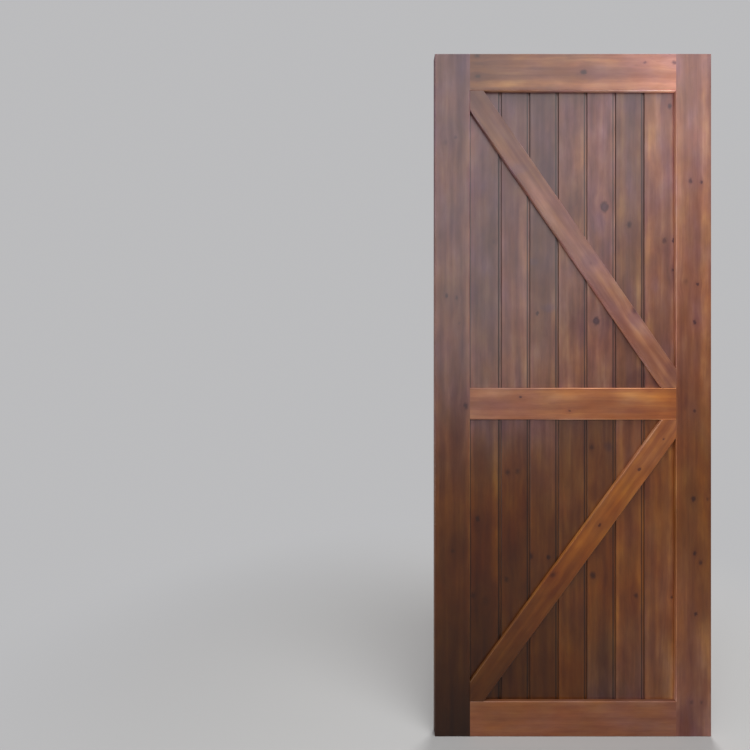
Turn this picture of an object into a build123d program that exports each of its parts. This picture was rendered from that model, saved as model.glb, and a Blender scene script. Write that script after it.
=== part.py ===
from build123d import *
import os
from math import atan2, degrees, hypot, radians, tan

# Sliding barn door slab with a K of diagonal braces.
# X runs across the door, Y through it with the front at -Y, Z up.
# The origin is the middle of the bottom edge. All sizes are in millimetres.

# Overall size
door_width = 864
door_height = 2134
door_thickness = 35

# Frame
stile_width = 110
top_rail_height = 115
mid_rail_height = 99
mid_rail_centre = 1040
bottom_rail_height = 110
opening_round_over = 3
outer_round_over = 2

# Mortise and tenon joints of the frame
tenon_length = 45
tenon_shoulder = 8
haunch_height = 32
tenon_end_room = 1

# Grooves in the frame that hold the boards
panel_groove_depth = 10
board_end_room = 1

# Boards
board_count = 7
board_cover_width = 90
board_thickness = 15
board_recess = 12
board_edge_round = 2

# Tongue-and-groove joint between two boards
joint_opening = 7
back_joint_gap = 1
tongue_setback = 3.5
tongue_thickness = 5.5
tongue_reach = 6
tongue_tip_room = 0.5

# Diagonal braces, which lie on the boards and finish flush with the frame
brace_width = 70

# Screws that hold the braces, driven from the back through every second board
screw_board_step = 2
screw_radius = 2
screw_head_radius = 4
screw_head_angle = 90
screw_length = 23
screw_tip_length = 3
screw_head_sink = 0.5
driver_slot_length = 3.6
driver_slot_width = 0.9
driver_slot_depth = 1.4

# Groove for the floor guide, along the bottom edge
guide_groove_width = 7
guide_groove_depth = 16

# Clearance on each side of a piece that fits into another
fit = 0.1

# Places that follow from the sizes
opening_width = door_width - 2 * stile_width
opening_edge = opening_width / 2
front = -door_thickness / 2
back = door_thickness / 2
board_front = front + board_recess
board_back = board_front + board_thickness
tongue_front = board_front + tongue_setback
tongue_back = tongue_front + tongue_thickness
groove_hold = panel_groove_depth - board_end_room

# The screws' heads sit below the boards' back, and their tips reach this far into a brace
screw_head_slope = tan(radians(screw_head_angle / 2))
screw_head_height = (screw_head_radius - screw_radius) / screw_head_slope
countersink_radius = screw_head_radius + fit + screw_head_sink * screw_head_slope
screw_reach = screw_length + screw_head_sink - board_thickness

bottom_rail_top = bottom_rail_height
mid_rail_low = mid_rail_centre - mid_rail_height / 2
mid_rail_high = mid_rail_centre + mid_rail_height / 2
top_rail_low = door_height - top_rail_height
lower_opening = (bottom_rail_top, mid_rail_low)
upper_opening = (mid_rail_high, top_rail_low)

# Each tenon stands clear of the rail's panel grooves, and of the haunch at the door's ends
tenon_margin = panel_groove_depth + tenon_shoulder
bottom_tenon = (haunch_height, bottom_rail_top - tenon_margin)
mid_tenon = (mid_rail_low + tenon_margin, mid_rail_high - tenon_margin)
top_tenon = (top_rail_low + tenon_margin, door_height - haunch_height)

# Middles of the joints between boards, and of the boards that take a screw
joint_places = [(k - (board_count - 2) / 2) * board_cover_width for k in range(board_count - 1)]
screwed_boards = range(1, board_count - 1, screw_board_step)
screw_places = [(joint_places[k - 1] + joint_places[k]) / 2 for k in screwed_boards]

os.makedirs("parts", exist_ok=True)


def area(x_low, x_high, y_low, y_high, mode=Mode.ADD):
    # A rectangle of a sketch, given by its sides
    with Locations(((x_low + x_high) / 2, (y_low + y_high) / 2)):
        Rectangle(x_high - x_low, y_high - y_low, mode=mode)


def cut_guide_groove():
    # The floor guide's groove runs along the whole bottom edge, through stiles and rail
    with BuildSketch(Plane.YZ) as section:
        area(-guide_groove_width / 2, guide_groove_width / 2, 0, guide_groove_depth)
    extrude(section.sketch, amount=door_width, both=True, mode=Mode.SUBTRACT)


def on_outside(edge):
    # True for an edge of the door's ends that lies on its front, its back or its side
    middle = edge.center()
    on_face = abs(middle.Y) > door_thickness / 2 - outer_round_over
    on_side = abs(middle.X) > door_width / 2 - outer_round_over
    return on_face or on_side


def write(piece, name):
    piece.part.label = name
    export_step(piece.part, f"parts/{name}.step")


# Stiles: the left one is modelled, the right one is its mirror image
with BuildPart() as left_stile:
    with BuildSketch() as stile_section:
        area(-door_width / 2, -opening_edge, front, back)
        fillet(stile_section.vertices().group_by(Axis.X)[0], outer_round_over)
        area(-opening_edge - panel_groove_depth, -opening_edge,
             board_front - fit, board_back + fit, mode=Mode.SUBTRACT)
    extrude(amount=door_height)
    ends = left_stile.faces().filter_by(Axis.Z)
    end_edges = ends.sort_by(Axis.Z)[0].edges() + ends.sort_by(Axis.Z)[-1].edges()
    fillet(end_edges.filter_by(on_outside), outer_round_over)
    # Mortises for the three rails
    with BuildSketch(Plane.YZ.offset(-opening_edge)):
        for low, high in (bottom_tenon, mid_tenon, top_tenon):
            area(board_front - fit, board_back + fit, low - fit, high + fit)
    extrude(amount=-(tenon_length + tenon_end_room), mode=Mode.SUBTRACT)
    # The inner edges are rounded over along the openings only, so the rails' joints stay tight
    for low, high in (lower_opening, upper_opening):
        with BuildSketch(Plane.XY.offset(low)):
            for side in (-1, 1):
                with Locations((-opening_edge, side * door_thickness / 2)):
                    Rectangle(2 * opening_round_over, 2 * opening_round_over)
                round_centre = side * (door_thickness / 2 - opening_round_over)
                with Locations((-opening_edge - opening_round_over, round_centre)):
                    Circle(opening_round_over, mode=Mode.SUBTRACT)
        extrude(amount=high - low, mode=Mode.SUBTRACT)
    cut_guide_groove()
write(left_stile, "left_stile")

with BuildPart() as right_stile:
    mirror(left_stile.part, about=Plane.YZ)
write(right_stile, "right_stile")


def rail_blank(low, high, low_round, high_round, tenon):
    # A rail's body between the stiles and the tenons at both of its ends
    with BuildSketch(Plane.YZ) as section:
        area(front, back, low, high)
        fillet(section.vertices().group_by(Axis.Y)[0], low_round)
        fillet(section.vertices().group_by(Axis.Y)[-1], high_round)
    extrude(section.sketch, amount=opening_edge, both=True)
    with BuildSketch(Plane.YZ) as tenon_section:
        area(board_front, board_back, *tenon)
    extrude(tenon_section.sketch, amount=opening_edge + tenon_length, both=True)


def haunch(low, high):
    # The haunches fill the ends of the stiles' grooves beside the tenons
    with BuildSketch(Plane.YZ) as section:
        area(board_front, board_back, low, high)
    extrude(section.sketch, amount=opening_edge + groove_hold, both=True)


def panel_groove(low, high):
    # A groove along a rail's edge for the ends of the boards
    with BuildSketch(Plane.YZ) as section:
        area(board_front - fit, board_back + fit, low, high)
    extrude(section.sketch, amount=opening_edge, both=True, mode=Mode.SUBTRACT)


with BuildPart() as top_rail:
    rail_blank(top_rail_low, door_height, opening_round_over, outer_round_over, top_tenon)
    haunch(top_tenon[1], door_height)
    panel_groove(top_rail_low, top_rail_low + panel_groove_depth)
write(top_rail, "top_rail")

with BuildPart() as mid_rail:
    rail_blank(mid_rail_low, mid_rail_high, opening_round_over, opening_round_over, mid_tenon)
    panel_groove(mid_rail_low, mid_rail_low + panel_groove_depth)
    panel_groove(mid_rail_high - panel_groove_depth, mid_rail_high)
write(mid_rail, "mid_rail")

with BuildPart() as bottom_rail:
    rail_blank(0, bottom_rail_top, outer_round_over, opening_round_over, bottom_tenon)
    haunch(0, bottom_tenon[0])
    panel_groove(bottom_rail_top - panel_groove_depth, bottom_rail_top)
    cut_guide_groove()
write(bottom_rail, "bottom_rail")


def brace_line(opening, rise):
    # Height of a brace's centre line at a place x across the door
    low, high = opening
    slope = rise * (high - low) / opening_width
    return lambda x: (low + high) / 2 + slope * x


upper_brace_height = brace_line(upper_opening, -1)
lower_brace_height = brace_line(lower_opening, 1)
upper_screws = [(x, upper_brace_height(x)) for x in screw_places]
lower_screws = [(x, lower_brace_height(x)) for x in screw_places]


def from_behind(places, depth):
    # Screw places on a plane at the given depth, looking out of the door's back
    return [Plane(origin=(x, depth, z), z_dir=(0, 1, 0)) for x, z in places]


def board(index, opening, screws):
    # One board, its groove on the left, its tongue on the right, and its ends in the rails
    first = index == 0
    last = index == board_count - 1
    left = -opening_edge - groove_hold if first else joint_places[index - 1] + joint_opening / 2
    right = opening_edge + groove_hold if last else joint_places[index] - joint_opening / 2
    low, high = opening
    with BuildPart() as piece:
        with BuildSketch(Plane.XY.offset(low - groove_hold)) as section:
            area(left, right, board_front, board_back)
            front_corners = section.vertices().group_by(Axis.Y)[0].sort_by(Axis.X)
            if not first:
                fillet(front_corners[0], board_edge_round)
            if not last:
                fillet(front_corners[-1], board_edge_round)
                area(right, right + joint_opening + tongue_reach, tongue_front, tongue_back)
                area(right, right + joint_opening - back_joint_gap, tongue_back, board_back)
            if not first:
                area(left, left + tongue_reach + tongue_tip_room,
                     tongue_front - fit, tongue_back + fit, mode=Mode.SUBTRACT)
        extrude(amount=high - low + 2 * groove_hold)
        if index in screwed_boards:
            own_screw = screws[screwed_boards.index(index)]
            with Locations(*from_behind([own_screw], board_back)):
                CounterSinkHole(screw_radius + fit, countersink_radius,
                                depth=board_thickness, counter_sink_angle=screw_head_angle)
    return piece


for index in range(board_count):
    write(board(index, upper_opening, upper_screws), f"upper_board_{index + 1}")
for index in range(board_count):
    write(board(index, lower_opening, lower_screws), f"lower_board_{index + 1}")


def brace(opening, rise, screws):
    # A brace from corner to corner of its opening, cut to the stile and the rail at both ends
    low, high = opening
    lean = degrees(atan2(rise * (high - low), opening_width))
    with BuildPart() as piece:
        with BuildSketch(Plane.XZ.offset(-front)):
            with Locations((0, (low + high) / 2)):
                Rectangle(2 * hypot(opening_width, high - low), brace_width, rotation=lean)
                Rectangle(opening_width - 2 * fit, high - low - 2 * fit, mode=Mode.INTERSECT)
        extrude(amount=-board_recess)
        long_edges = piece.faces().sort_by(Axis.Y)[0].edges().sort_by(SortBy.LENGTH)[-2:]
        fillet(long_edges, opening_round_over)
        with Locations(*from_behind(screws, board_front)):
            Hole(screw_radius + fit, depth=screw_reach + fit)
    return piece


write(brace(upper_opening, -1, upper_screws), "upper_brace")
write(brace(lower_opening, 1, lower_screws), "lower_brace")


def brace_screws(screws):
    # Countersunk screws with crossed driver slots
    shank_length = screw_length - screw_tip_length
    with BuildPart() as group:
        with Locations(*from_behind(screws, board_back - screw_head_sink)):
            Cylinder(screw_radius, shank_length, align=(Align.CENTER, Align.CENTER, Align.MAX))
            Cone(screw_radius, screw_head_radius, screw_head_height,
                 align=(Align.CENTER, Align.CENTER, Align.MAX))
            Box(driver_slot_length, driver_slot_width, 2 * driver_slot_depth, mode=Mode.SUBTRACT)
            Box(driver_slot_width, driver_slot_length, 2 * driver_slot_depth, mode=Mode.SUBTRACT)
        with Locations(*from_behind(screws, board_back - screw_head_sink - shank_length)):
            Cone(0, screw_radius, screw_tip_length, align=(Align.CENTER, Align.CENTER, Align.MAX))
    return group


write(brace_screws(upper_screws), "upper_brace_screws")
write(brace_screws(lower_screws), "lower_brace_screws")
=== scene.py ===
import math
import bpy
from mathutils import Matrix, Vector


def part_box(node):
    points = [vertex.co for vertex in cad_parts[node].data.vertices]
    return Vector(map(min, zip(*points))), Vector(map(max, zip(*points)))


# Sliding barn door slab of fir with a K of diagonal braces, stained walnut brown and varnished.
# X runs across the door, Y through it with the front at -Y, Z up. All sizes are in metres.
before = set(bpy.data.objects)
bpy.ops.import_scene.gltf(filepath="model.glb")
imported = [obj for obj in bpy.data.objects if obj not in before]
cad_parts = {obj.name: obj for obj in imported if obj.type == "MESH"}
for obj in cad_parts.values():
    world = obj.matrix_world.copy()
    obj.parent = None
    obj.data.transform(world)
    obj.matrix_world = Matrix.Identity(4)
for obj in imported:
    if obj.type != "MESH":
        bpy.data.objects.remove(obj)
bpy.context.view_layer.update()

# Camera, level and square to the door, left of it and a little above half its height. The lens and
# the sensor are in millimetres.
camera_place = (-0.619, -1.6675, 1.130)
camera_lens = 25.35
camera_sensor = 36.0

# Soft studio light: a large box in front and above, rolled by some degrees so that its lower edge
# climbs to the right, one low at the left and almost level with the door, which reaches the edges
# that face left and down, one overhead, and one behind the door
key_place = (0.0, -2.2, 2.95)
key_aim = (-0.5, 0.0, 1.8)
key_roll = 57.0
key_size = (3.7, 3.1)
key_power = 96.0
fill_place = (-2.8, -1.0, 0.2)
fill_aim = (0.0, 0.0, 1.2)
fill_size = (1.4, 1.4)
fill_power = 36.0
overhead_place = (0.0, -1.0, 4.0)
overhead_aim = (0.0, -0.2, 1.0)
overhead_size = (2.0, 0.8)
overhead_power = 28.0
rear_place = (1.2, 3.0, 2.8)
rear_aim = (0.0, 0.0, 1.0)
rear_size = (2.0, 1.8)
rear_power = 110.0

# The studio round the door, as it is seen or mirrored and as it lights
backdrop_tone = (0.50, 0.50, 0.51)
sky_tone = (0.13, 0.13, 0.135)

# Floor, as it is seen or mirrored and as it lights, and how far from the door it fades into the
# backdrop
floor_radius = 30.0
floor_corners = 64
floor_tone = (0.50, 0.495, 0.49)
floor_bounce = (0.42, 0.415, 0.41)
floor_fade = (0.7, 2.4)

# Places that follow from the frame
stile_low, stile_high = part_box("left_stile")
mid_low, mid_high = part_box("mid_rail")
top_low, top_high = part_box("top_rail")
bottom_low, bottom_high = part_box("bottom_rail")
opening_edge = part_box("upper_brace")[1].x
opening_width = 2 * opening_edge
upper_opening = (mid_high.z, top_low.z)
lower_opening = (bottom_high.z, mid_low.z)
door_height = stile_high.z
stile_middle = (opening_edge - stile_low.x) / 2

# Width that a board covers, from joint to joint
board_cover = 0.090


class Recipe:
    """Adds shader nodes to one tree and links them, one call for each step."""

    def __init__(self, tree):
        self.tree = tree

    def add(self, kind, **settings):
        node = self.tree.nodes.new(kind)
        for name, value in settings.items():
            setattr(node, name, value)
        return node

    def feed(self, socket, value):
        """Links a socket to another node's, or sets it to a value."""
        if isinstance(value, bpy.types.NodeSocket):
            self.tree.links.new(value, socket)
        else:
            socket.default_value = value

    def feed_all(self, sockets, values):
        for socket, value in zip(sockets, values):
            self.feed(socket, value)

    def math(self, operation, *values, clamp=False):
        node = self.add("ShaderNodeMath", operation=operation, use_clamp=clamp)
        self.feed_all(node.inputs, values)
        return node.outputs[0]

    def plus(self, first, second):
        return self.math("ADD", first, second)

    def minus(self, first, second):
        return self.math("SUBTRACT", first, second)

    def times(self, first, second):
        return self.math("MULTIPLY", first, second)

    def vector(self, operation, *values):
        node = self.add("ShaderNodeVectorMath", operation=operation)
        self.feed_all(node.inputs, values)
        return node.outputs["Value" if operation in ("DOT_PRODUCT", "LENGTH") else "Vector"]

    def scaled(self, vector, factor):
        node = self.add("ShaderNodeVectorMath", operation="SCALE")
        self.feed(node.inputs[0], vector)
        self.feed(node.inputs["Scale"], factor)
        return node.outputs["Vector"]

    def parts(self, vector):
        node = self.add("ShaderNodeSeparateXYZ")
        self.feed(node.inputs[0], vector)
        return node.outputs["X"], node.outputs["Y"], node.outputs["Z"]

    def joined(self, x, y, z):
        node = self.add("ShaderNodeCombineXYZ")
        self.feed_all(node.inputs, (x, y, z))
        return node.outputs[0]

    def placed(self, vector, location=(0, 0, 0), turn=0.0, scale=(1, 1, 1)):
        """A place as seen from a location, in a frame turned about Y and measured by a scale."""
        node = self.add("ShaderNodeMapping", vector_type="TEXTURE")
        self.feed(node.inputs["Vector"], vector)
        node.inputs["Location"].default_value = location
        node.inputs["Rotation"].default_value = (0, turn, 0)
        node.inputs["Scale"].default_value = scale
        return node.outputs[0]

    def turned(self, direction, turn):
        """A direction turned about Y."""
        node = self.add("ShaderNodeMapping", vector_type="VECTOR")
        self.feed(node.inputs["Vector"], direction)
        node.inputs["Rotation"].default_value = (0, turn, 0)
        return node.outputs[0]

    def noise(self, vector, scale=1.0, detail=2.0, roughness=0.5, colour=False):
        node = self.add("ShaderNodeTexNoise")
        self.feed(node.inputs["Vector"], vector)
        node.inputs["Scale"].default_value = scale
        node.inputs["Detail"].default_value = detail
        node.inputs["Roughness"].default_value = roughness
        return node.outputs["Color" if colour else "Fac"]

    def span(self, value, low, high, out_low=0.0, out_high=1.0, smooth=True):
        """Runs from out_low where the value is low to out_high where it is high, and no further."""
        kind = "SMOOTHSTEP" if smooth else "LINEAR"
        node = self.add("ShaderNodeMapRange", interpolation_type=kind, clamp=True)
        self.feed_all(node.inputs, (value, low, high, out_low, out_high))
        return node.outputs[0]

    def mix(self, factor, first, second, blend="MIX"):
        node = self.add("ShaderNodeMix", data_type="RGBA", blend_type=blend)
        by_name = {socket.identifier: socket for socket in node.inputs}
        self.feed(by_name["Factor_Float"], factor)
        for name, value in (("A_Color", first), ("B_Color", second)):
            self.feed(by_name[name], (*value, 1.0) if isinstance(value, tuple) else value)
        outputs = {socket.identifier: socket for socket in node.outputs}
        return outputs["Result_Color"]

    def multiplied(self, amount, colour, gains):
        """A colour times its gains, as far as the amount says."""
        return self.mix(amount, colour, gains, blend="MULTIPLY")


def new_material(name):
    material = bpy.data.materials.new(name)
    material.use_nodes = True
    material.node_tree.nodes.clear()
    recipe = Recipe(material.node_tree)
    output = recipe.add("ShaderNodeOutputMaterial")
    return material, recipe, output


# Stained wood

# Growth rings of the fir: how far apart they are, by how many rings they crowd, how often to the
# metre and how finely, and where in a ring the late wood darkens and where it ends
ring_pitch = 0.0056
ring_crowding = 3.2
crowding_scale = 55.0
crowding_detail = 1.0
late_wood_start = (0.15, 0.86)
late_wood_end = (1.0, 0.88)

# Strong and faint lines among the rings: how often to the metre across and along the piece they
# change, how finely and roughly, and how dark each is
strength_scale_across = 90.0
strength_scale_along = 1.6
strength_marks = dict(detail=3.0, roughness=0.6)
strength_range = (0.42, 0.70, 0.05, 1.0)

# Wandering of the grain and raggedness of knots and clouds: how wide, deep and long the waves are,
# how far they reach, and how finely they break up
slow_wander = dict(waves=(0.16, 0.16, 0.9), reach=0.010, detail=2.5)
fine_wander = dict(waves=(0.012, 0.012, 0.16), reach=0.0010, detail=2.0)
ragged_knot = dict(waves=(0.007, 0.007, 0.010), reach=0.0045, detail=2.0)
ragged_cloud = dict(waves=(0.030, 0.030, 0.030), reach=0.010, detail=2.0)

# Marks of each kind of grain: how wide and long they are, how finely they break up, and how rough
# they are
broad_marks = dict(width=0.021, length=0.70, detail=1.3)
medium_marks = dict(width=0.0090, length=0.060, detail=3.0)
fibre_marks = dict(width=0.0026, length=0.12, detail=4.0, roughness=0.62)
cloudy_marks = dict(width=0.055, length=0.13, detail=3.0)
yellow_marks = dict(width=0.045, length=0.12, detail=3.0)
red_marks = dict(width=0.055, length=0.11, detail=2.0)
pore_marks = dict(width=0.0011, length=0.022, detail=1.0)
pore_range = (0.12, 0.26)

# How much each kind of grain darkens or lightens the stain, and how much its hue swings between
# yellow and blue and between red and green, all as natural logarithms
broad_grain = 1.10
medium_grain = 0.34
fibre_grain = 0.38
cloud_grain = 1.30
ring_grain = 0.11
pore_grain = 0.14
yellow_swing = 1.20
red_swing = 0.55

# Red, green and blue of the stain against its depth, at no warmth, and how the logarithm of each
# follows the tone, the warmth, the swing to yellow and the swing to red
stain_channels = [
    (1.00, (1.00, 0.00, 0.00, 0.00)),
    (0.39, (1.35, -0.17, -0.35, -0.60)),
    (0.26, (1.05, -0.90, -1.30, 0.10)),
]

# Where a streak and a cloud start and where they are whole, in shares of their half sizes, and how
# a streak fades in the cloudy grain
streak_border = (1.5, 0.35)
cloud_border = (1.3, 0.3)
streak_fading = (-0.14, 0.14, 0.55, 1.15)

# A knot, in shares of its radius: how far it reaches back, how high it is, where it starts and
# where its heart is, and how far it pushes the grain aside
knot_back = 12
knot_height = 1.35
knot_border = (1.25, 0.35)
knot_push = -0.60

# How fast the push and the dye in the grain fade away from a knot
push_fading = -0.12
dye_fading_across = 0.30
dye_fading_along = 0.45

# How deep in a knot its rim and its heart lie, and the gains of the stain there and in the dyed
# grain
rim_depth = 1.5
heart_depth = 2.0
knot_rim = (0.33, 0.27, 0.40)
knot_heart = (0.42, 0.39, 0.64)
knot_halo = (0.72, 0.63, 0.84)

# How squarely a surface faces along any axis where an arris starts and where it is whole, and how
# squarely it faces front or back where an edge starts and where it is whole
arris_range = (0.998, 0.94)
edge_range = (0.85, 0.35)

# Gains of an arris rubbed lighter and given a painted highlight where it catches the light, and how
# the fibres break up both
arris_wear_and_highlight_gain = (3.0, 4.1, 5.6)
rubbing_and_highlight_range = (-0.18, 0.12, 0.35, 1.0)

# Gains of painted light and shade on the edges of the pieces: above 1 they lighten edge faces and
# undersides that lie in shade, below 1 they darken them
stile_edge_painted_light = (1.6, 1.8, 2.0)
top_rail_edge_painted_light = (1.35, 1.9, 2.5)
mid_rail_edge_painted_light = (1.2, 1.2, 1.2)
bottom_rail_edge_painted_shade = (0.8, 0.8, 0.8)
upper_brace_edge_painted_light = (2.2, 2.7, 3.3)
lower_brace_edge_painted_light = (1.6, 2.0, 3.0)

# Where along Y the front half of the door starts, in which the profiles below hold
front_range = (0.001, -0.001)

# Gains of the stain across a joint between two boards, at metres right of its middle line: dark
# lines in the corners of the joint are gathered stain and painted shade, wider and darker on the
# left, the tongue between them is painted lighter against the groove's shade, and the boards'
# edges beside it were wiped thin
joint_stain_and_painted_shade = [
    (-0.0150, 1.00), (-0.0110, 1.04), (-0.0074, 1.04), (-0.0062, 0.28), (-0.0020, 0.28),
    (-0.0012, 1.12), (0.0018, 1.12), (0.0029, 0.66), (0.0050, 0.66), (0.0062, 1.10), (0.0105, 1.10),
    (0.0150, 1.00),
]
# Gains over the boards, inwards from the left and the right edge of their opening, down from
# the top rail and from the mid rail, and up from the rail below them: on the left a dark line of
# painted shade where the first board meets the stile, then a lighter strip; on the right painted
# light beside the stile's shaded inner face; under the top rail a painted shadow; under the mid
# rail painted light over its shadow; and painted light along the boards' foot
left_edge_painted_shade = [(0.0000, 0.50), (0.0040, 0.50), (0.0052, 1.42), (0.0110, 1.36), (0.0200, 1.00)]
right_edge_painted_light = [(0.0000, 1.25), (0.0045, 1.25), (0.0085, 1.12), (0.0140, 1.00)]
under_top_painted_shadow = [(0.0000, 1.10), (0.0050, 0.82), (0.0200, 0.84), (0.0400, 0.93), (0.0700, 1.00)]
under_mid_painted_light = [(0.0000, 1.30), (0.0060, 1.20), (0.0120, 1.00)]
foot_painted_light = [(0.0000, 1.15), (0.0060, 1.15), (0.0140, 1.00)]
# The same inwards from the sides of a stile, where hands and sanding left the stain thinner
stile_profile = [(0.0000, 1.18), (0.0060, 1.18), (0.0170, 1.00)]
# The same up from the foot of the top rail: painted light on its underside and lowest strip, which
# lie in shade
rail_foot_painted_light = [(0.0000, 2.40), (0.0006, 2.40), (0.0012, 1.00)]

# Relief of the late wood and the fibres under the varnish, and the varnish: how much it mirrors,
# how rough it is over the fibres, and how much rougher on the edges
ring_relief = 0.35
fibre_relief = 0.60
relief_strength = 0.18
relief_height = 0.0006
varnish_mirror = 0.40
varnish_roughness = (-0.30, 0.30, 0.27, 0.36)
edge_roughness = 0.30


def sway(recipe, place, seed, waves, reach, detail):
    """Moves a place about by a slow noise, as the grain wanders along a board."""
    shifted = recipe.placed(place, location=seed, scale=waves)
    noise = recipe.noise(shifted, detail=detail, colour=True)
    drift = recipe.vector("SUBTRACT", noise, (0.5, 0.5, 0.5))
    return recipe.vector("ADD", place, recipe.scaled(drift, 2 * reach))


def knot_dye(recipe, offset):
    """How dyed the grain is round a knot: it fades fast across the grain and slowly along it."""
    x, _, z = recipe.parts(offset)
    across = recipe.times(recipe.times(x, x), dye_fading_across)
    along = recipe.times(recipe.math("ABSOLUTE", z), dye_fading_along)
    return recipe.math("EXPONENT", recipe.times(recipe.plus(across, along), -1.0))


def knot_field(recipe, place, knots, centre, turn, seed):
    """Lets the grain flow round each knot. Gives the place read by the rings, how deep a point is
    in a knot, from 0 outside to 2 at the heart of a strong one, and how dyed the grain is by it."""
    into_piece = Matrix.Rotation(-turn, 3, "Y")
    ragged = sway(recipe, place, seed, **ragged_knot)
    inside, dyed = 0.0, 0.0
    for x, z, radius, strength in knots:
        middle = into_piece @ (Vector((x, centre.y, z)) - centre)
        size = (radius, knot_back * radius, knot_height * radius)
        offset = recipe.placed(ragged, location=middle, scale=size)
        square = recipe.vector("DOT_PRODUCT", offset, offset)
        near = recipe.math("EXPONENT", recipe.times(square, push_fading))
        push = recipe.vector("MULTIPLY", offset, (knot_push * radius, 0, 0))
        place = recipe.vector("ADD", place, recipe.scaled(push, near))
        away = recipe.math("SQRT", square)
        depth = recipe.span(away, *knot_border, 0.0, heart_depth * strength, smooth=False)
        inside = recipe.math("MAXIMUM", inside, depth)
        dyed = recipe.math("MAXIMUM", dyed, recipe.times(knot_dye(recipe, offset), strength))
    return place, inside, dyed


def ring_lines(recipe, place, pith, seed):
    """Growth rings about a pith behind the face, which drifts along the piece. Gives how dark the
    late wood is, from 0 to 1."""
    across, depth, tilt_across, tilt_depth = pith
    x, y, z = recipe.parts(place)
    side = recipe.minus(recipe.minus(x, across), recipe.times(z, tilt_across))
    deep = recipe.minus(recipe.plus(y, recipe.times(z, tilt_depth)), depth)
    radius = recipe.vector("LENGTH", recipe.joined(side, deep, 0.0))

    crowding_place = recipe.joined(recipe.times(radius, crowding_scale), 0.0, 0.0)
    crowding = recipe.noise(recipe.vector("ADD", crowding_place, seed), detail=crowding_detail)
    evenly = recipe.math("DIVIDE", radius, ring_pitch)
    phase = recipe.math("FRACT", recipe.plus(evenly, recipe.times(crowding, ring_crowding)))
    line = recipe.times(recipe.span(phase, *late_wood_start), recipe.span(phase, *late_wood_end))

    strength_across = recipe.times(radius, strength_scale_across)
    strength_along = recipe.times(z, strength_scale_along)
    strength_place = recipe.joined(strength_across, 0.0, strength_along)
    strength = recipe.noise(recipe.vector("ADD", strength_place, seed), **strength_marks)
    return recipe.times(line, recipe.span(strength, *strength_range))


def grain_noise(recipe, place, seed, width, length, detail, roughness=0.5):
    """Noise stretched along the grain, about 0."""
    drawn = recipe.placed(place, location=seed, scale=(width, width, length))
    return recipe.minus(recipe.noise(drawn, detail=detail, roughness=roughness), 0.5)


def facing(recipe, turn):
    """1 on a rounded arris and 0 on a flat face, and 1 on the edges of a piece and 0 on its broad
    faces, from the way that the surface turns."""
    normal = recipe.add("ShaderNodeNewGeometry").outputs["Normal"]
    x, y, z = recipe.parts(recipe.vector("ABSOLUTE", recipe.turned(normal, -turn)))
    flat = recipe.math("MAXIMUM", x, recipe.math("MAXIMUM", y, z))
    return recipe.span(flat, *arris_range), recipe.span(y, *edge_range)


def graded(recipe, value, stops):
    """A number that runs straight from stop to stop, each a place and what it is there."""
    result = stops[0][1]
    for (low, low_value), (high, high_value) in zip(stops, stops[1:]):
        step = recipe.span(value, low, high, 0.0, high_value - low_value, smooth=False)
        result = recipe.plus(result, step)
    return result


def summed(recipe, terms):
    """Adds numbers, each times its share."""
    total = 0.0
    for value, share in terms:
        total = recipe.math("MULTIPLY_ADD", value, share, total)
    return total


def streak_marks(recipe, flowed, cloudy, streaks):
    """How much of each streak along the piece is here, with its tone and hue."""
    across = recipe.parts(flowed)[0]
    fading = recipe.span(cloudy, *streak_fading)
    marks = []
    for middle, half_width, tone, hue in streaks:
        away = recipe.math("ABSOLUTE", recipe.minus(across, middle))
        start, whole = (share * half_width for share in streak_border)
        marks.append((recipe.times(recipe.span(away, start, whole), fading), tone, hue))
    return marks


def cloud_marks(recipe, object_place, seed, clouds):
    """How much of each cloud in the stain is here, with its tone and hue."""
    uneven = sway(recipe, object_place, seed, **ragged_cloud)
    marks = []
    for x, z, half_width, half_height, tone, hue in clouds:
        offset = recipe.placed(uneven, location=(x, 0.0, z), scale=(half_width, 1.0, half_height))
        away = recipe.vector("LENGTH", recipe.vector("MULTIPLY", offset, (1, 0, 1)))
        marks.append((recipe.span(away, *cloud_border), tone, hue))
    return marks


def stained(recipe, stains, run, tone, yellow, red):
    """Colour of a stain of a depth, its red reflectance, and a warmth from -1, grey brown, over 1,
    walnut, to 3, orange brown, where it is lighter by a tone, and yellower or redder."""
    depth = graded(recipe, run, [(place, depth) for place, depth, warmth in stains])
    warmth = graded(recipe, run, [(place, warmth) for place, depth, warmth in stains])
    channels = []
    for start, shares in stain_channels:
        power = summed(recipe, zip((tone, warmth, yellow, red), shares))
        channels.append(recipe.times(recipe.math("EXPONENT", power), start))
    return recipe.scaled(recipe.joined(*channels), depth)


def painted_light_and_stain_by_sides(recipe, colour, object_place, sides):
    """Stain and painted light and shade along the sides of the front."""
    x, y, z = recipe.parts(object_place)
    at_front = recipe.span(y, *front_range, smooth=False)
    for axis, side, direction, profile in sides:
        along = x if axis == "X" else z
        distance = recipe.times(recipe.minus(along, side), direction)
        gain = recipe.minus(graded(recipe, distance, profile), 1.0)
        colour = recipe.scaled(colour, recipe.math("MULTIPLY_ADD", gain, at_front, 1.0))
    return colour


def knotted(recipe, colour, knot, dyed):
    """Grain dyed purple round a knot, its dark rim, and its heart, which is a little lighter."""
    colour = recipe.multiplied(dyed, colour, knot_halo)
    colour = recipe.multiplied(recipe.span(knot, 0.0, rim_depth), colour, knot_rim)
    heart = tuple(inner / outer for inner, outer in zip(knot_heart, knot_rim))
    return recipe.multiplied(recipe.span(knot, rim_depth, heart_depth), colour, heart)


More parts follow.
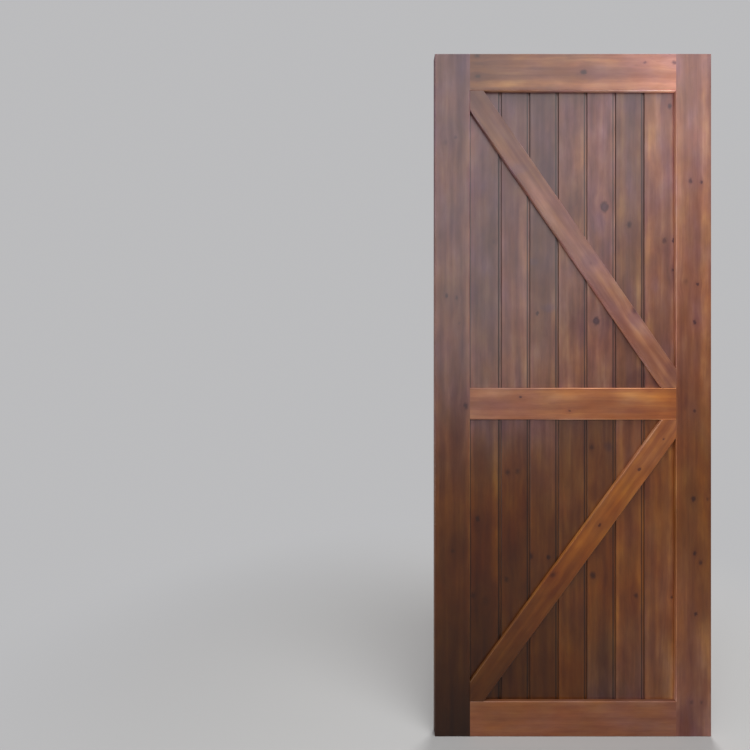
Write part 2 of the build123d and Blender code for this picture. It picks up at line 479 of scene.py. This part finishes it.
def varnished(recipe, colour, ring_line, fibre, edge):
    """Satin varnish over the stain, with the relief of the wood under it."""
    bump = recipe.add("ShaderNodeBump")
    bump.inputs["Strength"].default_value = relief_strength
    bump.inputs["Distance"].default_value = relief_height
    relief = summed(recipe, [(ring_line, ring_relief), (fibre, fibre_relief)])
    recipe.feed(bump.inputs["Height"], relief)

    shader = recipe.add("ShaderNodeBsdfPrincipled")
    shader.inputs["Specular IOR Level"].default_value = varnish_mirror
    roughness = recipe.span(fibre, *varnish_roughness, smooth=False)
    roughness = recipe.math("MULTIPLY_ADD", edge, edge_roughness, roughness)
    recipe.feed(shader.inputs["Base Color"], colour)
    recipe.feed(shader.inputs["Roughness"], roughness)
    recipe.feed(shader.inputs["Normal"], bump.outputs[0])
    return shader.outputs[0]


def stained_wood(name, stains, centre, span, seed, turn=0.0, pith=(0.01, 0.09, 0.01, 0.015),
                 knots=(), clouds=(), streaks=(), sides=(), arris=((0.0, 0.0), (1.0, 0.0)),
                 edges=(1.0, 1.0, 1.0), figure=1.0):
    """Walnut-brown stain and satin varnish on fir.

    stains are (place, depth, warmth) along the grain's run from 0 to 1, which is span long about
    the centre; turn leans the grain from upright about Y; pith is (across, depth, drift across,
    drift in depth); knots are (x, z, radius, strength); clouds are (x, z, half width, half height,
    tone, hue); streaks are (across, half width, tone, hue) from the centre line; sides are (axis,
    place, direction, profile) of the front, each profile giving gains of stain and of painted light
    and shade; arris is (place, how far the arrises are rubbed lighter and given a painted highlight)
    along the run; edges is the gain of painted light and shade on the piece's edges; figure is how
    strongly the broad grain shows."""
    material, recipe, output = new_material(name)
    centre = Vector(centre)
    object_place = recipe.add("ShaderNodeTexCoord").outputs["Object"]
    place = recipe.placed(object_place, location=centre, turn=turn)
    from_centre = recipe.math("DIVIDE", recipe.parts(place)[2], span)
    run = recipe.math("ADD", from_centre, 0.5, clamp=True)
    rounded, edge = facing(recipe, turn)
    flowed, knot, dyed = knot_field(recipe, place, knots, centre, turn, seed)
    flowed = sway(recipe, flowed, seed, **slow_wander)
    flowed = sway(recipe, flowed, seed, **fine_wander)

    # Grain, from broad bands down to fibres and pores
    ring_line = ring_lines(recipe, flowed, pith, seed)
    broad = grain_noise(recipe, flowed, seed, **broad_marks)
    medium = grain_noise(recipe, flowed, seed, **medium_marks)
    fibre = grain_noise(recipe, flowed, seed, **fibre_marks)
    cloudy = grain_noise(recipe, flowed, seed, **cloudy_marks)
    pore = recipe.span(grain_noise(recipe, flowed, seed, **pore_marks), *pore_range)
    tones = [
        (broad, figure * broad_grain), (medium, medium_grain), (fibre, fibre_grain),
        (cloudy, figure * cloud_grain), (ring_line, -ring_grain), (pore, -pore_grain),
    ]
    yellow_seed = (seed[1], seed[2], seed[0])
    yellows = [(grain_noise(recipe, flowed, yellow_seed, **yellow_marks), yellow_swing)]
    red_seed = (seed[2], seed[0], seed[1])
    red = recipe.times(grain_noise(recipe, flowed, red_seed, **red_marks), red_swing)

    # Streaks and clouds of its own
    marks = streak_marks(recipe, flowed, cloudy, streaks)
    marks += cloud_marks(recipe, object_place, seed, clouds)
    tones += [(amount, tone) for amount, tone, hue in marks]
    yellows += [(amount, hue) for amount, tone, hue in marks]
    colour = stained(recipe, stains, run, summed(recipe, tones), summed(recipe, yellows), red)

    # Arrises rubbed lighter and given a painted highlight, painted light and shade on the edges,
    # stain and painted light and shade along the sides, and knots
    rubbed_and_highlit = recipe.times(rounded, recipe.span(fibre, *rubbing_and_highlight_range))
    rubbed_and_highlit = recipe.times(rubbed_and_highlit, graded(recipe, run, arris))
    colour = recipe.multiplied(rubbed_and_highlit, colour, arris_wear_and_highlight_gain)
    colour = recipe.multiplied(edge, colour, edges)
    colour = painted_light_and_stain_by_sides(recipe, colour, object_place, sides)
    colour = knotted(recipe, colour, knot, dyed)
    recipe.feed(output.inputs["Surface"], varnished(recipe, colour, ring_line, fibre, edge))
    return material


def dress(node_name, material):
    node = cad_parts[node_name]
    node.data.materials.clear()
    node.data.materials.append(material)
    for polygon in node.data.polygons:
        polygon.material_index = 0


def middle_of(low, high):
    return (low + high) / 2


# Frame pieces: stains from the lower or left end to the upper or right end. The rails' grain is
# turned level.
level = math.radians(90)

# The left stile's stain darkens towards its foot, in part as painted shade where the light falls off
# downwards
dress("left_stile", stained_wood(
    "left stile wood", [(0.0, 0.018, 3.0), (0.5, 0.118, 0.0), (1.0, 0.090, -0.65)],
    centre=(-stile_middle, 0.0, door_height / 2), span=door_height, seed=(3.1, 0.4, 7.7),
    knots=[
        (-0.367, 1.873, 0.005, 0.40), (-0.398, 1.857, 0.010, 0.25), (-0.395, 1.377, 0.006, 0.70),
        (-0.364, 1.371, 0.006, 0.50), (-0.355, 1.292, 0.006, 0.30), (-0.335, 1.033, 0.009, 0.60),
        (-0.376, 0.580, 0.007, 0.35)],
    clouds=[(-0.377, 0.600, 0.080, 0.320, 0.0, 0.50)],
    streaks=[(0.050, 0.008, 0.12, 0.05), (0.028, 0.014, -0.08, 0.0)],
    sides=[("X", stile_low.x, 1, stile_profile), ("X", -opening_edge, -1, stile_profile)],
    arris=((0.0, 0.25), (1.0, 0.30)), edges=stile_edge_painted_light))

dress("right_stile", stained_wood(
    "right stile wood",
    [(0.0, 0.223, -0.15), (0.33, 0.125, 1.9), (0.6, 0.226, 0.35), (1.0, 0.182, -0.15)],
    centre=(stile_middle, 0.0, door_height / 2), span=door_height, seed=(5.3, 8.1, 2.2),
    knots=[
        (0.367, 1.736, 0.008, 0.60), (0.401, 1.733, 0.005, 0.80), (0.352, 1.422, 0.010, 0.30),
        (0.389, 1.414, 0.005, 0.90), (0.380, 1.296, 0.006, 0.90), (0.380, 1.018, 0.005, 0.60),
        (0.376, 0.743, 0.008, 0.70), (0.420, 0.743, 0.006, 0.40), (0.380, 0.574, 0.006, 0.80),
        (0.398, 0.543, 0.007, 0.60), (0.383, 0.383, 0.005, 0.80), (0.370, 0.108, 0.007, 0.40),
        (0.401, 0.108, 0.006, 0.40)],
    clouds=[
        (0.338, 1.060, 0.022, 0.110, -0.38, -0.10), (0.396, 1.415, 0.016, 0.050, 0.22, 0.10),
        (0.350, 0.050, 0.030, 0.075, -0.26, -0.05)],
    streaks=[(0.036, 0.014, 0.22, 0.04), (-0.004, 0.016, -0.14, -0.12)],
    sides=[("X", opening_edge, 1, stile_profile)],
    arris=((0.0, 0.30), (0.5, 0.25), (1.0, 0.15)), edges=stile_edge_painted_light, figure=0.80))

dress("top_rail", stained_wood(
    "top rail wood", [(0.0, 0.107, 0.7), (0.65, 0.201, 0.1), (1.0, 0.405, 0.1)], turn=level,
    centre=(0.0, 0.0, middle_of(top_low.z, top_high.z)), span=opening_width, seed=(1.9, 4.2, 6.4),
    knots=[
        (0.033, 2.077, 0.009, 0.80), (0.224, 2.107, 0.005, 0.50), (0.316, 2.107, 0.008, 0.60),
        (-0.300, 2.127, 0.008, 0.60), (-0.298, 2.064, 0.008, 0.60)],
    streaks=[(0.038, 0.014, 0.14, 0.06), (0.000, 0.016, -0.12, -0.08), (-0.046, 0.012, 0.10, 0.0)],
    sides=[("Z", top_low.z, 1, rail_foot_painted_light)],
    arris=((0.0, 0.20), (1.0, 0.40)), edges=top_rail_edge_painted_light))

dress("mid_rail", stained_wood(
    "mid rail wood", [(0.0, 0.223, 0.15), (1.0, 0.310, 1.25)], turn=level,
    centre=(0.0, 0.0, middle_of(mid_low.z, mid_high.z)), span=opening_width, seed=(9.2, 3.3, 1.4),
    knots=[(-0.164, 1.061, 0.004, 0.80), (-0.011, 1.018, 0.004, 0.90)],
    clouds=[(-0.090, 1.020, 0.090, 0.022, -0.12, 0.0), (0.320, 1.050, 0.030, 0.070, -0.18, 0.0)],
    streaks=[(-0.030, 0.016, 0.14, 0.0), (0.004, 0.012, -0.12, 0.0)],
    arris=((0.0, 0.00), (0.25, 0.15), (0.45, 0.90), (1.0, 1.00)), edges=mid_rail_edge_painted_light, figure=0.60))

dress("bottom_rail", stained_wood(
    "bottom rail wood", [(0.0, 0.231, 0.7), (1.0, 0.240, 0.3)], turn=level,
    centre=(0.0, 0.0, middle_of(bottom_low.z, bottom_high.z)), span=opening_width,
    seed=(2.7, 6.6, 5.8), arris=((0.0, 0.05), (1.0, 0.05)), edges=bottom_rail_edge_painted_shade, figure=0.50))


# Braces: stains from the lower end to the upper end


def brace_lean(opening, side):
    """Lean from upright of a brace from corner to corner, to the right at 1 and the left at -1."""
    low, high = opening
    return math.atan2(side * opening_width, high - low)


def brace_length(opening):
    low, high = opening
    return math.hypot(opening_width, high - low)


dress("upper_brace", stained_wood(
    "upper brace wood", [(0.0, 0.246, 0.4), (0.35, 0.218, -0.1), (1.0, 0.092, 0.0)],
    turn=brace_lean(upper_opening, -1), centre=(0.0, 0.0, middle_of(*upper_opening)),
    span=brace_length(upper_opening), seed=(4.4, 1.1, 8.8),
    knots=[(0.192, 1.332, 0.010, 0.50), (0.055, 1.480, 0.006, 0.25)],
    clouds=[
        (-0.170, 1.775, 0.034, 0.022, -0.14, -0.30), (0.195, 1.305, 0.026, 0.040, -0.22, -0.15),
        (0.055, 1.488, 0.028, 0.035, -0.28, -0.15), (0.308, 1.133, 0.024, 0.050, -0.34, -0.10)],
    arris=((0.0, 0.05), (0.5, 0.15), (1.0, 0.35)), edges=upper_brace_edge_painted_light))

# The lower brace's stain darkens towards its lower end, in part as painted shade where the light
# falls off downwards
dress("lower_brace", stained_wood(
    "lower brace wood",
    [(0.0, 0.055, 2.5), (0.25, 0.094, 2.05), (0.45, 0.159, 2.5), (1.0, 0.268, 0.85)],
    turn=brace_lean(lower_opening, 1), centre=(0.0, 0.0, middle_of(*lower_opening)),
    span=brace_length(lower_opening), seed=(7.4, 2.1, 3.8),
    knots=[
        (0.283, 0.930, 0.003, 0.90), (0.208, 0.836, 0.005, 0.90), (0.083, 0.661, 0.005, 0.80),
        (-0.064, 0.505, 0.009, 0.50)],
    clouds=[(0.159, 0.883, 0.020, 0.030, -0.28, 0.0)],
    arris=((0.0, 0.05), (1.0, 0.15)), edges=lower_brace_edge_painted_light))

# Boards from left to right: stains from the foot to the top, and the knots, clouds and streaks
upper_boards = [
    dict(stains=[(0.0, 0.109, 0.0), (0.35, 0.080, -0.45), (1.0, 0.105, -0.55)],
         knots=[(-0.245, 1.549, 0.006, 0.3)]),
    dict(stains=[(0.0, 0.126, 0.05), (0.35, 0.140, -0.1), (1.0, 0.090, -0.55)],
         knots=[(-0.262, 1.545, 0.008, 0.3)],
         clouds=[(-0.143, 1.574, 0.012, 0.110, -0.28, 0.0)],
         streaks=[(-0.026, 0.014, -0.07, -0.05), (0.0, 0.005, 0.09, 0.0),
                  (0.024, 0.006, 0.11, 0.05)]),
    dict(stains=[(0.0, 0.134, 0.2), (0.4, 0.085, -0.25), (1.0, 0.084, -0.4)],
         knots=[(-0.108, 1.324, 0.005, 0.8)],
         clouds=[(-0.072, 1.342, 0.028, 0.015, -0.16, -0.30),
                 (-0.120, 1.484, 0.016, 0.016, -0.10, -0.35),
                 (-0.063, 1.665, 0.024, 0.030, -0.26, 0.0)],
         streaks=[(0.038, 0.010, 0.14, 0.05)]),
    dict(stains=[(0.0, 0.159, 0.15), (1.0, 0.119, -0.2)], figure=1.3,
         clouds=[(0.026, 1.700, 0.018, 0.110, -0.30, -0.05),
                 (-0.036, 1.553, 0.018, 0.025, 0.28, 0.0)],
         streaks=[(-0.030, 0.015, -0.06, -0.05), (0.028, 0.018, 0.10, 0.05)]),
    dict(stains=[(0.0, 0.168, 0.15), (1.0, 0.162, -0.4)], figure=1.3,
         knots=[(0.103, 1.659, 0.014, 1.0), (0.077, 1.300, 0.011, 0.9)],
         clouds=[(0.083, 1.608, 0.024, 0.050, -0.24, -0.35)]),
    dict(stains=[(0.0, 0.128, 0.35), (1.0, 0.102, -0.3)],
         knots=[(0.181, 1.603, 0.009, 0.6)],
         # This cloud, at the board's foot between the brace and the mid rail, is painted shadow
         clouds=[(0.222, 1.112, 0.044, 0.036, -0.55, -0.10)],
         streaks=[(-0.027, 0.009, 0.22, 0.10), (0.002, 0.012, -0.12, -0.15),
                  (0.035, 0.008, 0.24, 0.12)]),
    dict(stains=[(0.0, 0.177, 0.2), (1.0, 0.189, -0.15)],
         knots=[(0.308, 1.976, 0.008, 0.7), (0.292, 1.553, 0.009, 0.5),
                (0.320, 1.553, 0.006, 0.9), (0.318, 1.460, 0.005, 0.6)],
         clouds=[(0.262, 1.415, 0.020, 0.030, -0.10, -0.20),
                 # The next cloud, at the board's foot between the brace and the mid rail, is painted
                 # shadow
                 (0.240, 1.115, 0.036, 0.036, -0.75, -0.10)],
         streaks=[(-0.026, 0.013, 0.26, 0.16), (0.020, 0.016, -0.08, -0.12)]),
]
# The lower boards' stains darken towards their foot, most on the left, in part as painted shade
# where the light falls off downwards
lower_boards = [
    dict(stains=[(0.0, 0.031, 2.7), (0.5, 0.060, 2.95), (1.0, 0.107, -0.4)],
         knots=[(-0.296, 0.677, 0.009, 0.6), (-0.310, 0.436, 0.009, 0.5),
                (-0.270, 0.420, 0.016, 0.3)],
         clouds=[(-0.290, 0.640, 0.060, 0.280, 0.0, 0.60)],
         streaks=[(0.036, 0.012, 0.26, 0.08)]),
    dict(stains=[(0.0, 0.050, 2.55), (0.6, 0.066, 2.6), (1.0, 0.115, -0.45)],
         knots=[(-0.202, 0.824, 0.009, 0.5), (-0.170, 0.827, 0.009, 0.5),
                (-0.205, 0.487, 0.009, 0.5)],
         clouds=[(-0.185, 0.700, 0.060, 0.230, 0.0, 0.55)],
         streaks=[(-0.036, 0.010, 0.16, 0.06), (0.038, 0.010, 0.10, 0.05)]),
    dict(stains=[(0.0, 0.060, 2.6), (0.6, 0.085, 1.85), (1.0, 0.125, -0.25)],
         knots=[(-0.129, 0.560, 0.009, 0.6), (-0.073, 0.556, 0.007, 0.8)],
         streaks=[(-0.036, 0.010, 0.10, 0.04)]),
    dict(stains=[(0.0, 0.100, 2.1), (0.8, 0.104, 1.3), (1.0, 0.087, 0.35)],
         streaks=[(-0.034, 0.012, 0.10, 0.04), (0.030, 0.014, -0.05, 0.0)]),
    dict(stains=[(0.0, 0.075, -0.1), (0.4, 0.120, 2.6), (1.0, 0.104, 0.65)],
         knots=[(0.063, 0.903, 0.009, 0.5), (0.066, 0.500, 0.010, 0.7)],
         clouds=[(0.114, 0.903, 0.016, 0.018, -0.30, -0.45),
                 (0.072, 0.759, 0.020, 0.035, -0.30, 0.0)],
         streaks=[(-0.023, 0.006, -0.06, 0.0), (-0.007, 0.006, 0.08, 0.05),
                  (0.027, 0.008, -0.08, 0.0)]),
    dict(stains=[(0.0, 0.128, -0.1), (0.4, 0.163, 2.0), (1.0, 0.152, 0.4)],
         knots=[(0.203, 0.436, 0.008, 0.6)],
         clouds=[(0.212, 0.771, 0.045, 0.055, -0.34, 0.0)],
         streaks=[(-0.028, 0.014, 0.07, 0.05), (-0.003, 0.010, -0.07, -0.05)]),
    dict(stains=[(0.0, 0.175, 0.6), (1.0, 0.154, 1.6)],
         knots=[(0.315, 0.430, 0.005, 0.6)],
         clouds=[(0.212, 0.771, 0.045, 0.055, -0.34, 0.0),
                 (0.316, 0.919, 0.016, 0.030, -0.30, 0.0)],
         streaks=[(-0.021, 0.010, -0.10, -0.04), (-0.003, 0.007, 0.08, 0.04),
                  (0.024, 0.007, -0.08, 0.0), (0.038, 0.009, 0.14, 0.08)]),
]

# Seed and pith of the first board of each set, and how they change from board to board
upper_seed = (1.3, 5.0, 0.0)
lower_seed = (1.3, 9.0, 0.0)
seed_step = (3.7, 1.9, 2.3)
first_pith = (0.02, 0.10, 0.012, 0.012)
pith_step = (-0.008, 0.0, 0.0, 0.003)


def stepped(start, step, index):
    """Values of the board of an index, counted from the first."""
    return tuple(first + index * change for first, change in zip(start, step))


def dress_boards(part, opening, boards, first_seed, top_end_painted_light_and_shade):
    """Stains a set of boards, whose joints are a cover apart about the door's middle."""
    low, high = opening
    half_count = len(boards) / 2
    for index, settings in enumerate(boards):
        first = index == 0
        last = index == len(boards) - 1
        left = -opening_edge if first else (index - half_count) * board_cover
        right = opening_edge if last else (index + 1 - half_count) * board_cover
        sides = [
            ("X", left, 1, left_edge_painted_shade if first else joint_stain_and_painted_shade),
            ("X", right, -1 if last else 1, right_edge_painted_light if last else joint_stain_and_painted_shade),
            ("Z", low, 1, foot_painted_light),
            ("Z", high, -1, top_end_painted_light_and_shade),
        ]
        dress(f"{part}_board_{index + 1}", stained_wood(
            f"{part} board {index + 1} wood",
            centre=(middle_of(left, right), 0.0, middle_of(low, high)), span=high - low,
            seed=stepped(first_seed, seed_step, index),
            pith=stepped(first_pith, pith_step, index), sides=sides, **settings))


dress_boards("upper", upper_opening, upper_boards, upper_seed, under_top_painted_shadow)
dress_boards("lower", lower_opening, lower_boards, lower_seed, under_mid_painted_light)


# Screws of zinc plated steel, a little yellow: the plate's dull and bright colour, how often to the
# metre and how finely it is clouded, and how its roughness follows the clouds
plate_dull = (0.56, 0.46, 0.27)
plate_bright = (0.70, 0.62, 0.44)
plate_clouds = dict(scale=420.0, detail=3.0)
plate_roughness = (0.3, 0.7, 0.26, 0.42)


def plated_steel(name):
    material, recipe, output = new_material(name)
    place = recipe.add("ShaderNodeTexCoord").outputs["Object"]
    cloudy = recipe.noise(place, **plate_clouds)
    shader = recipe.add("ShaderNodeBsdfPrincipled")
    shader.inputs["Metallic"].default_value = 1.0
    recipe.feed(shader.inputs["Base Color"], recipe.mix(cloudy, plate_dull, plate_bright))
    recipe.feed(shader.inputs["Roughness"], recipe.span(cloudy, *plate_roughness))
    recipe.feed(output.inputs["Surface"], shader.outputs[0])
    return material


screw_steel = plated_steel("zinc plated steel")
dress("upper_brace_screws", screw_steel)
dress("lower_brace_screws", screw_steel)


# Stage and light


def seen_rays(recipe):
    """1 for the rays that see or mirror a surface, 0 for those that gather its light."""
    ray = recipe.add("ShaderNodeLightPath").outputs
    seen = recipe.math("MAXIMUM", ray["Is Camera Ray"], ray["Is Glossy Ray"])
    return recipe.math("MAXIMUM", seen, ray["Is Transmission Ray"])


def floor_material():
    """Matt and pale near the door, and the backdrop's own tone away from it."""
    material, recipe, output = new_material("pale floor")
    seen = seen_rays(recipe)
    matt = recipe.add("ShaderNodeBsdfDiffuse")
    recipe.feed(matt.inputs["Color"], recipe.mix(seen, floor_bounce, floor_tone))
    distant = recipe.add("ShaderNodeEmission")
    distant.inputs["Color"].default_value = (*backdrop_tone, 1.0)
    away = recipe.vector("LENGTH", recipe.add("ShaderNodeTexCoord").outputs["Object"])
    faded = recipe.times(recipe.span(away, *floor_fade), seen)
    surface = recipe.add("ShaderNodeMixShader")
    recipe.feed_all(surface.inputs, (faded, matt.outputs[0], distant.outputs[0]))
    recipe.feed(output.inputs["Surface"], surface.outputs[0])
    return material


def add_floor():
    bpy.ops.object.select_all(action="DESELECT")
    bpy.ops.mesh.primitive_circle_add(
        vertices=floor_corners, radius=floor_radius, fill_type="NGON")
    floor = bpy.context.object
    floor.name = "floor"
    floor.data.materials.append(floor_material())


def add_softbox(name, place, aim, size, power, roll=0.0):
    """A lamp that faces the place it is aimed at, rolled about its own axis by some degrees."""
    bpy.ops.object.light_add(type="AREA", location=place)
    lamp = bpy.context.object
    lamp.name = name
    lamp.data.shape = "RECTANGLE"
    lamp.data.size, lamp.data.size_y = size
    lamp.data.energy = power
    aimed = (Vector(aim) - Vector(place)).to_track_quat("-Z", "Y").to_matrix()
    lamp.rotation_euler = (aimed @ Matrix.Rotation(math.radians(roll), 3, "Z")).to_euler()
    lamp.visible_camera = False


def add_world():
    """A pale studio: one tone where it is seen or mirrored, a weaker one where it lights."""
    world = bpy.data.worlds.new("studio")
    bpy.context.scene.world = world
    world.use_nodes = True
    world.node_tree.nodes.clear()
    recipe = Recipe(world.node_tree)
    background = recipe.add("ShaderNodeBackground")
    recipe.feed(background.inputs["Color"], recipe.mix(seen_rays(recipe), sky_tone, backdrop_tone))
    background.inputs["Strength"].default_value = 1.0
    output = recipe.add("ShaderNodeOutputWorld")
    recipe.feed(output.inputs["Surface"], background.outputs[0])


def add_camera():
    bpy.ops.object.camera_add(location=camera_place, rotation=(math.radians(90), 0, 0))
    camera = bpy.context.object
    camera.data.lens = camera_lens
    camera.data.sensor_width = camera_sensor
    bpy.context.scene.camera = camera


add_floor()
add_softbox("key softbox", key_place, key_aim, key_size, key_power, key_roll)
add_softbox("fill softbox", fill_place, fill_aim, fill_size, fill_power)
add_softbox("overhead softbox", overhead_place, overhead_aim, overhead_size, overhead_power)
add_softbox("rear softbox", rear_place, rear_aim, rear_size, rear_power)
add_world()
add_camera()
bpy.context.scene.view_settings.view_transform = "Standard"
